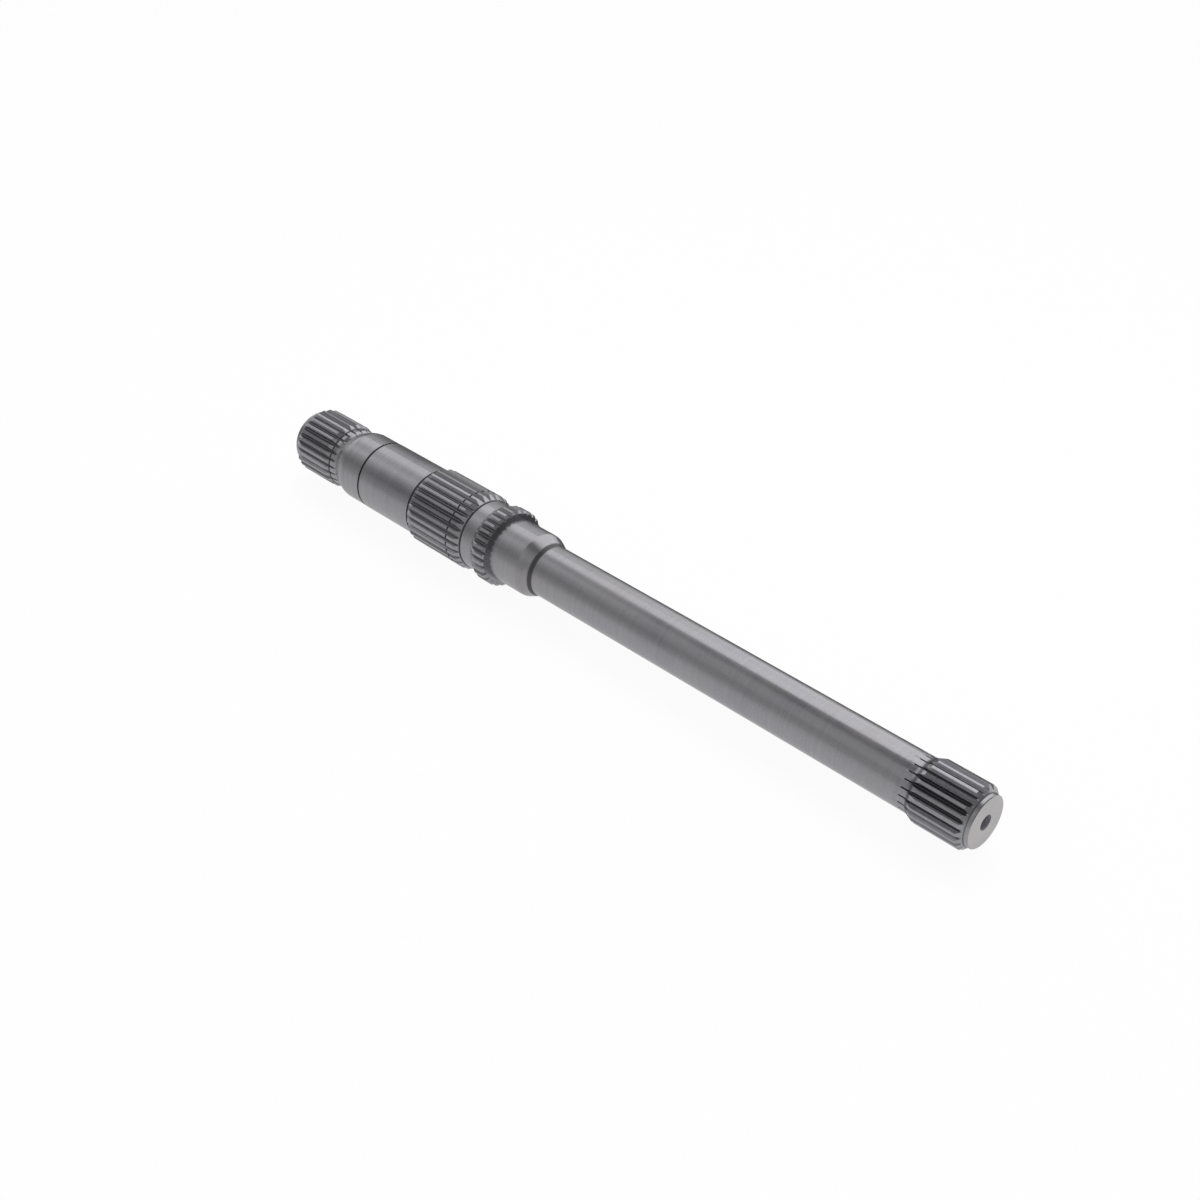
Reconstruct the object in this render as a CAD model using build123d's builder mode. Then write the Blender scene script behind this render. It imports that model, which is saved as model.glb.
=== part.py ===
from build123d import *

import os
from math import acos, cos, pi, radians, sin, tan

# A splined drive shaft, turned from one bar. It lies along X: the front end face stands at the
# origin and the shaft runs towards -X. Sizes are in millimetres, angles in degrees.

# Tooth form of every spline: involute flanks and filleted roots, on a 16/32 diametral pitch
module = 25.4 / 16
pressure_angle = 30.0
root_fillet = 0.35
cutter_radius = 35.0

# Teeth of the front spline, the hub spline in the middle and the rear spline
front_teeth = 22
hub_teeth = 30
rear_teeth = 26

# Front end
spigot_step = 0.8
front_spigot_length = 2.35
edge_break = 0.4
front_land_length = 26.9
front_ramp_length = 5.2
front_ramp_foot = 6.0
front_run_out = 5.0

# Shank
shank_diameter = 32.0
shank_length = 269.9

# Inner bearing seat and the shoulder behind it
cone_length = 8.2
cone_foot = 2.5
cone_crown = 6.0
inner_seat_diameter = 40.0
inner_seat_length = 24.8
shoulder_diameter = 46.4

# Hub spline: a short locking ring of teeth, a groove, then the long run of teeth
lock_chamfer_length = 1.4
lock_land_length = 7.6
lock_ramp_length = 4.2
groove_depth = 0.125
groove_length = 9.2
hub_ramp_length = 4.6
hub_land_length = 41.6
hub_chamfer_length = 2.1
witness_offset = 5.8
witness_width = 0.5
witness_depth = 0.25

# Outer bearing seat between two relief grooves
relief_depth = 0.3
inner_relief_length = 1.5
outer_seat_diameter = 45.0
outer_seat_length = 46.7
outer_relief_length = 1.0
band_diameter = 44.8
band_length = 17.0

# Neck between the band and the rear spline
band_crown_drop = 0.5
band_crown_length = 2.6
neck_drop_length = 6.8
neck_diameter = 38.3
neck_length = 2.2
ledge_diameter = 39.9
ledge_length = 3.2
rear_ramp_length = 4.0
rear_run_out = 0.4

# Rear end
rear_land_length = 28.0
rear_spigot_length = 2.35

# Centre hole in each end face
centre_hole_diameter = 9.0
centre_hole_depth = 25.0
drill_point_angle = 118.0


def involute(angle):
    return tan(angle) - angle


def tip_radius(teeth):
    return module * (teeth + 1) / 2


def root_radius(teeth):
    return module * (teeth - 2) / 2


def space_point(teeth, radius, side):
    """A point on the flank of the tooth space that is centred on +X, at a radius."""
    base_radius = module * teeth / 2 * cos(radians(pressure_angle))
    half_angle = pi / (2 * teeth) - involute(radians(pressure_angle)) + involute(acos(base_radius / radius))
    return (radius * cos(half_angle), side * radius * sin(half_angle))


def tooth_space(teeth):
    """The section of one tooth space: two involute flanks, a filleted root and an open mouth."""
    root = root_radius(teeth)
    tip = tip_radius(teeth)
    middle = (root + tip) / 2
    with BuildSketch() as space:
        with BuildLine():
            upper = ThreePointArc(*[space_point(teeth, radius, 1) for radius in (root, middle, tip)])
            lower = ThreePointArc(*[space_point(teeth, radius, -1) for radius in (root, middle, tip)])
            mouth = tip + module
            Polyline(upper @ 1, (mouth, (upper @ 1).Y), (mouth, (lower @ 1).Y), lower @ 1)
            Line(upper @ 0, lower @ 0)
        make_face()
        fillet(space.vertices().group_by(Axis.X)[0], radius=root_fillet)
    return space.sketch


def space_cutter(teeth, x_open, x_end, run_out):
    """The space that a disc cutter leaves: straight from x_open to x_end, then rising to nothing."""
    axis_height = root_radius(teeth) + cutter_radius
    section = Plane(origin=(x_end, 0, 0), x_dir=(0, 0, 1), z_dir=(1, 0, 0))
    with BuildPart() as cutter:
        with BuildSketch(section):
            add(tooth_space(teeth))
        extrude(amount=x_open - x_end)
        if run_out:
            with BuildSketch(section):
                add(tooth_space(teeth))
            revolve(axis=Axis((x_end, 0, axis_height), (0, 1, 0)), revolution_arc=run_out)
    return cutter.part


def cut_spaces(teeth, x_open, x_end, run_out):
    """Cuts a ring of tooth spaces into the shaft, with one space on top."""
    cutter = space_cutter(teeth, x_open, x_end, run_out)
    for index in range(teeth):
        add(cutter.rotate(Axis.X, index * 360 / teeth), mode=Mode.SUBTRACT)


def drill_end(face, inward):
    """Drills the centre hole into an end face. inward is the sign of X into the metal."""
    radius = centre_hole_diameter / 2
    bottom = face + inward * centre_hole_depth
    point = bottom + inward * radius / tan(radians(drill_point_angle / 2))
    with BuildSketch(Plane.XZ) as hole:
        with BuildLine():
            Polyline((face, 0), (face, radius), (bottom, radius), (point, 0), close=True)
        make_face()
    revolve(hole.sketch, axis=Axis.X, mode=Mode.SUBTRACT)


# Stations along the shaft, from the front face to the rear face
front_tip = tip_radius(front_teeth)
front_spigot = root_radius(front_teeth) - spigot_step
x_front_chamfer = -front_spigot_length
x_front_lands = x_front_chamfer - (front_tip - front_spigot)
x_front_ramp = x_front_lands - front_land_length
x_shank = x_front_ramp - front_ramp_length
x_cone = x_shank - shank_length
x_inner_seat = x_cone - cone_length
x_shoulder = x_inner_seat - inner_seat_length
x_lock_lands = x_shoulder - lock_chamfer_length
x_lock_ramp = x_lock_lands - lock_land_length
x_groove = x_lock_ramp - lock_ramp_length
x_hub_ramp = x_groove - groove_length
x_hub_lands = x_hub_ramp - hub_ramp_length
x_hub_chamfer = x_hub_lands - hub_land_length
x_inner_relief = x_hub_chamfer - hub_chamfer_length
x_outer_seat = x_inner_relief - inner_relief_length
x_outer_relief = x_outer_seat - outer_seat_length
x_band = x_outer_relief - outer_relief_length
x_band_crown = x_band - band_length
x_neck_drop = x_band_crown - band_crown_length
x_neck = x_neck_drop - neck_drop_length
x_ledge = x_neck - neck_length
x_rear_ramp = x_ledge - ledge_length
x_rear_lands = x_rear_ramp - rear_ramp_length
x_rear_chamfer = x_rear_lands - rear_land_length
rear_tip = tip_radius(rear_teeth)
rear_spigot = root_radius(rear_teeth) - spigot_step
x_rear_spigot = x_rear_chamfer - (rear_tip - rear_spigot)
x_rear = x_rear_spigot - rear_spigot_length

shank = shank_diameter / 2
inner_seat = inner_seat_diameter / 2
shoulder = shoulder_diameter / 2
hub_tip = tip_radius(hub_teeth)
groove = root_radius(hub_teeth) - groove_depth
outer_seat = outer_seat_diameter / 2
relief = outer_seat - relief_depth
band = band_diameter / 2
neck = neck_diameter / 2
ledge = ledge_diameter / 2

with BuildPart() as splined_shaft:
    with BuildSketch(Plane.XZ) as half_section:
        with BuildLine():
            front = FilletPolyline(
                (0, 0),
                (0, front_spigot - edge_break),
                (-edge_break, front_spigot),
                (x_front_chamfer, front_spigot),
                (x_front_lands, front_tip),
                (x_front_ramp, front_tip),
                (x_shank, shank),
                (x_cone, shank),
                (x_inner_seat, inner_seat),
                (x_shoulder, inner_seat),
                radius=[0, 0, 0, 0, 0, front_ramp_foot, cone_foot, cone_crown],
            )
            hub = Polyline(
                front @ 1,
                (x_shoulder, shoulder),
                (x_lock_lands, hub_tip),
                (x_lock_ramp, hub_tip),
                (x_groove, groove),
                (x_hub_ramp, groove),
                (x_hub_lands, hub_tip),
                (x_hub_chamfer, hub_tip),
                (x_inner_relief, relief),
                (x_outer_seat, relief),
                (x_outer_seat, outer_seat),
                (x_outer_relief, outer_seat),
                (x_outer_relief, relief),
                (x_band, relief),
                (x_band, band),
                (x_band_crown, band),
            )
            rear = Polyline(
                hub @ 1,
                (x_neck_drop, band - band_crown_drop),
                (x_neck, neck),
                (x_ledge, ledge),
                (x_rear_ramp, ledge),
                (x_rear_lands, rear_tip),
                (x_rear_chamfer, rear_tip),
                (x_rear_spigot, rear_spigot),
                (x_rear + edge_break, rear_spigot),
                (x_rear, rear_spigot - edge_break),
                (x_rear, 0),
            )
            Line(rear @ 1, front @ 0)
        make_face()
    revolve(axis=Axis.X)

    with BuildSketch(Plane.XZ) as witness_line:
        with Locations((x_hub_lands - witness_offset, hub_tip)):
            Rectangle(witness_width, 2 * witness_depth)
    revolve(axis=Axis.X, mode=Mode.SUBTRACT)

    drill_end(0, -1)
    drill_end(x_rear, 1)

    cut_spaces(front_teeth, 0, x_shank - front_run_out, 15)
    cut_spaces(hub_teeth, x_shoulder + module, x_outer_seat, 0)
    cut_spaces(rear_teeth, x_neck, x_rear, 0)

splined_shaft.part.label = "splined_shaft"
os.makedirs("parts", exist_ok=True)
export_step(splined_shaft.part, "parts/splined_shaft.step")
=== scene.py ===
import bpy
from math import pi
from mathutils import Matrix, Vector


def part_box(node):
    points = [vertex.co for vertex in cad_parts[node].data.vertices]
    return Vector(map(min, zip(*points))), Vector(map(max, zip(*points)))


# The splined shaft on a pale studio floor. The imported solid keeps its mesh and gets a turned-steel
# material. Scene lengths are metres; the stations and radii in the material are millimetres, with
# X from 0 at the front face to the rear face on the minus side.

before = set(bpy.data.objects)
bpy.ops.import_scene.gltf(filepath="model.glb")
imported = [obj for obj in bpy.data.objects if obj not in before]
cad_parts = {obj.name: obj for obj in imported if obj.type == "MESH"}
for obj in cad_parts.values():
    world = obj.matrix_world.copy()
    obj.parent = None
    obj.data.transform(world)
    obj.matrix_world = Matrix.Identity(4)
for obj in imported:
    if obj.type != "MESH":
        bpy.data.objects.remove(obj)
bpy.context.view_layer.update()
scene = bpy.context.scene

NODE = "splined_shaft"
low, high = [Vector(corner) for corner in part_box(NODE)]
MM = 1000.0
LENGTH = (high.x - low.x) * MM

# Camera: looks down on the middle of the shaft from its front right
CAMERA_TARGET = Vector((-0.266, 0, 0))
CAMERA_DIRECTION = Vector((1, -1, 1)).normalized()
CAMERA_DISTANCE = 1.007
CAMERA_LENS = 52.5
CAMERA_SENSOR = 36.0
CAMERA_REACH = 20

# Steel, how much of its colour the painted shade in the darkest corners keeps, and how far painted light
# lightens the bores
STEEL = (0.402, 0.396, 0.418)
STEEL_ROUGHNESS = (0.24, 0.31)
PAINTED_SHADE_LEVEL = 0.12
DARK_ROUGHNESS = 0.25
BORE_RADIUS = 4.6
BORE_PAINTED_LIGHT = 1.75
BORE_ROUGHNESS = 0.5

# Grain of the steel: the middle stretch of a noise that is used, and what each noise does
NOISE_LOW = 0.3
NOISE_HIGH = 0.7
MARK_STRETCH = 0.02
FINE_MARK_SCALE = 2600.0
BROAD_MARK_SCALE = 420.0
CLOUD_SCALE = 38.0
SPECKLE_SCALE = 950.0
MARK_SHADE = 0.045
SPECKLE_SHADE = 0.05
CLOUD_TINTS = ((0.3, (0.93, 0.94, 0.97)), (0.5, (1.0, 1.0, 1.0)), (0.7, (1.0, 0.985, 0.965)))
SPECKLE_HEIGHT = 0.5
BUMP_STRENGTH = 0.12
BUMP_DISTANCE = 0.00005

# Painted shade in the tooth spaces: the stretch that each ring of cuts runs over, the radius of its
# floor, and how strong the painted shade on the floor is
TOOTH_SPACE_PAINTED_SHADE = (
    (-4.3, -36.1, 15.875, 0.9),
    (-340.6, -352.2, 22.225, 0.5),
    (-364.6, -410.5, 22.225, 0.5),
    (-489.1, -525.8, 19.05, 0.6),
)
FLOOR_EDGE = (0.15, 0.8)

# Painted shade where the front tooth spaces run out into the shank: the stretch, and the shank's radius
RUN_OUT = (-36.1, -41.4, 16.0)
RUN_OUT_EDGE = (0.1, 0.03)

# Painted shade in the corners of the turned steps, drawn as dark rings: place, half width, strength, and
# the smallest and largest radius that they reach
CORNER_PAINTED_SHADE_RINGS = (
    (-2.5, 0.4, 0.55, 14.0, 30.0),
    (-35.8, 1.5, 0.6, 15.9, 30.0),
    (-308.2, 2.0, 0.76, 15.0, 30.0),
    (-340.8, 0.7, 0.15, 20.1, 23.3),
    (-363.1, 0.8, 0.85, 15.0, 30.0),
    (-373.33, 0.75, 1.0, 24.0, 30.0),
    (-411.9, 1.1, 0.8, 15.0, 30.0),
    (-459.93, 1.1, 1.0, 15.0, 30.0),
    (-492.4, 0.8, 0.8, 15.0, 30.0),
    (-527.6, 0.6, 0.6, 15.0, 30.0),
)
RING_CORE = 0.45

# Studio light. Long soft boxes stand parallel to the shaft, so the world's brightness is drawn over
# the angle round the shaft's axis: 0 is the horizon behind it, 0.5 straight above it and 1 the
# horizon in front. FAR holds for directions well towards the rear end and NEAR for the others, up
# to the dim end beyond the front face. Each blend runs between two values of the direction's X.
WORLD_STRENGTH = 1.3
FAR = ((0.0, 0.10), (0.12, 0.34), (0.20, 0.60), (0.30, 1.06), (0.37, 1.04), (0.45, 0.68), (0.51, 0.72),
       (0.58, 0.98), (0.66, 0.60), (0.74, 0.30), (0.83, 0.19), (0.92, 0.36), (1.0, 0.44))
NEAR = ((0.0, 0.85), (0.10, 1.24), (0.22, 1.14), (0.34, 1.26), (0.40, 1.28), (0.435, 0.55), (0.48, 0.14),
        (0.54, 0.14), (0.63, 0.40), (0.76, 0.52), (0.86, 0.38), (0.95, 0.46), (1.0, 0.50))
FAR_TO_NEAR = (-0.70, -0.47)
NEAR_TO_DIM = (0.25, 0.6)
DIM = (0.18, 0.18, 0.18, 1)

# Floor: white to the camera. In reflections it carries a painted shadow of the shaft, grey in front of
# it by the square root of the distance from the axis, dark painted shade behind it, and it is pale beyond
# its front end.
FLOOR_HALF = 2.2
FLOOR_FRONT_PAINTED_SHADOW = ((0.0, 0.90), (0.10, 0.74), (0.25, 0.66), (0.6, 0.56), (1.0, 0.48))
FLOOR_BEHIND_PAINTED_SHADE = (0.08, 0.08, 0.08, 1)
FLOOR_BEYOND = (1.0, 0.985, 0.95, 1)
FLOOR_END = (-0.03, 0.01)
FLOOR_TO_CAMERA = (1.02, 1.02, 1.02, 1)
FLOOR_GLOW = 0.92
FLOOR_COLOUR = (0.9, 0.9, 0.9, 1)

# Soft box overhead
SOFT_BOX_PLACE = Vector((CAMERA_TARGET.x, 0.3, 1.4))
SOFT_BOX_SIZE = (1.2, 0.8)
SOFT_BOX_POWER = 6.0


class Nodes:
    """Short calls for the nodes of one tree."""

    def __init__(self, tree):
        self.tree = tree

    def put(self, socket, value):
        if isinstance(value, bpy.types.NodeSocket):
            self.tree.links.new(value, socket)
        else:
            socket.default_value = value

    def new(self, kind, **inputs):
        node = self.tree.nodes.new(kind)
        for name, value in inputs.items():
            self.put(node.inputs[name], value)
        return node

    def math(self, operation, *values):
        node = self.tree.nodes.new("ShaderNodeMath")
        node.operation = operation
        for socket, value in zip(node.inputs, values):
            self.put(socket, value)
        return node.outputs[0]

    def span(self, value, start, end, to_start=0.0, to_end=1.0, smooth=False):
        node = self.tree.nodes.new("ShaderNodeMapRange")
        node.interpolation_type = "SMOOTHSTEP" if smooth else "LINEAR"
        for socket, number in zip(node.inputs, (value, start, end, to_start, to_end)):
            self.put(socket, number)
        return node.outputs[0]

    def between(self, value, first, last):
        return self.math("COMPARE", value, (first + last) / 2, abs(first - last) / 2)

    def ramp(self, value, stops):
        node = self.tree.nodes.new("ShaderNodeValToRGB")
        elements = node.color_ramp.elements
        while len(elements) < len(stops):
            elements.new(0.5)
        for element, (place, level) in zip(elements, stops):
            element.position = place
            colour = (level,) * 3 if isinstance(level, float) else level
            element.color = (*colour, 1)
        self.put(node.inputs[0], value)
        return node.outputs[0]

    def mix(self, factor, first, second):
        node = self.tree.nodes.new("ShaderNodeMix")
        node.data_type = "RGBA"
        self.put(node.inputs[0], factor)
        self.put(node.inputs[6], first)
        self.put(node.inputs[7], second)
        return node.outputs[2]

    def noise(self, vector, scale, detail=2.0, roughness=0.5):
        texture = self.new("ShaderNodeTexNoise", Vector=vector, Scale=scale)
        self.put(texture.inputs["Detail"], detail)
        self.put(texture.inputs["Roughness"], roughness)
        return texture.outputs[0]

    def split(self, vector):
        return self.new("ShaderNodeSeparateXYZ", Vector=vector).outputs


def aim(obj, place, direction):
    obj.location = place
    obj.rotation_euler = direction.to_track_quat("-Z", "Y").to_euler()
    scene.collection.objects.link(obj)


def add_camera():
    data = bpy.data.cameras.new("camera")
    data.lens = CAMERA_LENS
    data.sensor_width = CAMERA_SENSOR
    data.clip_end = CAMERA_REACH
    camera = bpy.data.objects.new("camera", data)
    aim(camera, CAMERA_TARGET + CAMERA_DISTANCE * CAMERA_DIRECTION, -CAMERA_DIRECTION)
    scene.camera = camera


def tooth_space_painted_shade(n, x, r):
    """Painted shade: up to 1 on the floors of the tooth spaces, 0 on the flanks, the lands and the turned
    steps.
    """
    first, last, surface = RUN_OUT
    below_shank = n.span(r, surface - RUN_OUT_EDGE[0], surface - RUN_OUT_EDGE[1], 1.0, 0.0)
    total = n.math("MULTIPLY", below_shank, n.between(x, first, last))
    for first, last, floor, strength in TOOTH_SPACE_PAINTED_SHADE:
        low_down = n.span(r, floor + FLOOR_EDGE[0], floor + FLOOR_EDGE[1], strength, 0.0, smooth=True)
        total = n.math("MAXIMUM", total, n.math("MULTIPLY", low_down, n.between(x, first, last)))
    return total


def corner_painted_shade(n, x, r):
    """Painted shade: dark lines in the corners of the steps."""
    total = None
    for place, half, strength, smallest, largest in CORNER_PAINTED_SHADE_RINGS:
        away = n.math("ABSOLUTE", n.math("SUBTRACT", x, place))
        ring = n.span(away, half * RING_CORE, half, strength, 0.0, smooth=True)
        ring = n.math("MULTIPLY", ring, n.between(r, smallest, largest))
        total = ring if total is None else n.math("MAXIMUM", total, ring)
    return total


def steel():
    m = bpy.data.materials.new("turned_steel")
    m.use_nodes = True
    n = Nodes(m.node_tree)
    shader = m.node_tree.nodes["Principled BSDF"]
    coords = n.new("ShaderNodeTexCoord").outputs["Object"]
    x, y, z = [n.math("MULTIPLY", axis, MM) for axis in n.split(coords)]
    r = n.math("SQRT", n.math("ADD", n.math("MULTIPLY", y, y), n.math("MULTIPLY", z, z)))
    # Painted shade in the tooth spaces and the corners of the steps
    painted_shade = n.math("MAXIMUM", tooth_space_painted_shade(n, x, r), corner_painted_shade(n, x, r))
    past_faces = n.between(x, -0.1, 0.1 - LENGTH)
    in_bore = n.math("MULTIPLY", n.math("LESS_THAN", r, BORE_RADIUS), past_faces)

    # Turning marks run round the shaft: their noise is squeezed across it
    squeeze = (1.0, MARK_STRETCH, MARK_STRETCH)
    marks_at = n.new("ShaderNodeMapping", Vector=coords, Scale=squeeze).outputs[0]
    fine_marks = n.noise(marks_at, FINE_MARK_SCALE, 3.0, 0.6)
    broad_marks = n.noise(marks_at, BROAD_MARK_SCALE)
    cloud = n.noise(coords, CLOUD_SCALE, 4.0, 0.6)
    speckle = n.noise(coords, SPECKLE_SCALE, 2.0, 0.7)

    shade = n.math(
        "ADD",
        n.span(fine_marks, NOISE_LOW, NOISE_HIGH, -MARK_SHADE, MARK_SHADE),
        n.span(broad_marks, NOISE_LOW, NOISE_HIGH, 1 - MARK_SHADE, 1 + MARK_SHADE),
    )
    grain = n.span(speckle, NOISE_LOW, NOISE_HIGH, -SPECKLE_SHADE, SPECKLE_SHADE)
    shade = n.math("ADD", shade, grain)
    # Painted shade darkens the tooth-space floors and the corner rings
    shade = n.math("MULTIPLY", shade, n.span(painted_shade, 0.0, 1.0, 1.0, PAINTED_SHADE_LEVEL))
    # Painted light: the bore's colour is lightened to stand in for light reaching into it
    shade = n.math("MULTIPLY", shade, n.span(in_bore, 0.0, 1.0, 1.0, BORE_PAINTED_LIGHT))
    colour = n.mix(1.0, (*STEEL, 1), n.ramp(cloud, CLOUD_TINTS))
    colour.node.blend_type = "MULTIPLY"
    shaded = n.new("ShaderNodeVectorMath", Vector=colour)
    shaded.operation = "SCALE"
    n.put(shaded.inputs["Scale"], shade)
    n.put(shader.inputs["Base Color"], shaded.outputs[0])
    shader.inputs["Metallic"].default_value = 1.0

    rough = n.span(cloud, NOISE_LOW, NOISE_HIGH, *STEEL_ROUGHNESS)
    rough = n.math("ADD", rough, n.span(painted_shade, 0.0, 1.0, 0.0, DARK_ROUGHNESS))
    rough = n.math("ADD", rough, n.math("MULTIPLY", in_bore, BORE_ROUGHNESS))
    n.put(shader.inputs["Roughness"], rough)

    height = n.math("ADD", fine_marks, n.math("MULTIPLY", speckle, SPECKLE_HEIGHT))
    bump = n.new("ShaderNodeBump", Strength=BUMP_STRENGTH, Distance=BUMP_DISTANCE, Height=height)
    n.put(shader.inputs["Normal"], bump.outputs[0])
    return m


def add_world():
    world = bpy.data.worlds.new("studio")
    world.use_nodes = True
    scene.world = world
    n = Nodes(world.node_tree)
    x, y, z = n.split(n.new("ShaderNodeTexCoord").outputs["Generated"])
    turn = n.math("DIVIDE", n.math("ARCTAN2", z, y), pi)
    far, near = [
        n.ramp(turn, [(place, level / WORLD_STRENGTH) for place, level in stops]) for stops in (FAR, NEAR)
    ]
    sky = n.mix(n.span(x, *FAR_TO_NEAR, smooth=True), far, near)
    sky = n.mix(n.span(x, *NEAR_TO_DIM, smooth=True), sky, DIM)
    white = (*(1 / WORLD_STRENGTH,) * 3, 1)
    sky = n.mix(n.new("ShaderNodeLightPath").outputs["Is Camera Ray"], sky, white)
    background = world.node_tree.nodes["Background"]
    n.put(background.inputs["Color"], sky)
    background.inputs["Strength"].default_value = WORLD_STRENGTH


def floor_material():
    m = bpy.data.materials.new("floor")
    m.use_nodes = True
    n = Nodes(m.node_tree)
    card = m.node_tree.nodes["Principled BSDF"]
    card.inputs["Base Color"].default_value = FLOOR_COLOUR
    card.inputs["Roughness"].default_value = 1.0
    card.inputs["Specular IOR Level"].default_value = 0.0
    path = n.new("ShaderNodeLightPath").outputs
    x, y, _ = n.split(n.new("ShaderNodeTexCoord").outputs["Object"])
    # Painted shadow of the shaft in front and painted shade behind it, both seen only in reflections
    front = n.ramp(n.math("SQRT", n.math("ABSOLUTE", y)), FLOOR_FRONT_PAINTED_SHADOW)
    behind = n.mix(n.span(x, *FLOOR_END), FLOOR_BEHIND_PAINTED_SHADE, FLOOR_BEYOND)
    seen = n.mix(n.math("GREATER_THAN", y, 0.0), front, behind)
    seen = n.mix(path["Is Camera Ray"], seen, FLOOR_TO_CAMERA)
    glow = n.new("ShaderNodeEmission", Color=seen)
    either = n.math("MAXIMUM", path["Is Camera Ray"], path["Is Glossy Ray"])
    mix = n.new("ShaderNodeMixShader")
    n.put(mix.inputs[0], n.math("MULTIPLY", either, FLOOR_GLOW))
    n.put(mix.inputs[1], card.outputs[0])
    n.put(mix.inputs[2], glow.outputs[0])
    n.put(m.node_tree.nodes["Material Output"].inputs["Surface"], mix.outputs[0])
    return m


def add_floor():
    middle = (low.x + high.x) / 2
    mesh = bpy.data.meshes.new("floor")
    corners = [
        (middle + i * FLOOR_HALF, j * FLOOR_HALF, low.z) for i, j in ((-1, -1), (1, -1), (1, 1), (-1, 1))
    ]
    mesh.from_pydata(corners, [], [(0, 1, 2, 3)])
    mesh.materials.append(floor_material())
    floor = bpy.data.objects.new("floor", mesh)
    scene.collection.objects.link(floor)


def add_soft_box():
    """A large soft box overhead, which gives the floor its soft shadow."""
    data = bpy.data.lights.new("soft_box", "AREA")
    data.shape = "RECTANGLE"
    data.size, data.size_y = SOFT_BOX_SIZE
    data.energy = SOFT_BOX_POWER
    lamp = bpy.data.objects.new("soft_box", data)
    aim(lamp, SOFT_BOX_PLACE, CAMERA_TARGET - SOFT_BOX_PLACE)
    lamp.visible_glossy = False


add_camera()
add_world()
add_floor()
add_soft_box()
turned_steel = steel()
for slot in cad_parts[NODE].material_slots:
    slot.material = turned_steel

scene.view_settings.view_transform = "Standard"
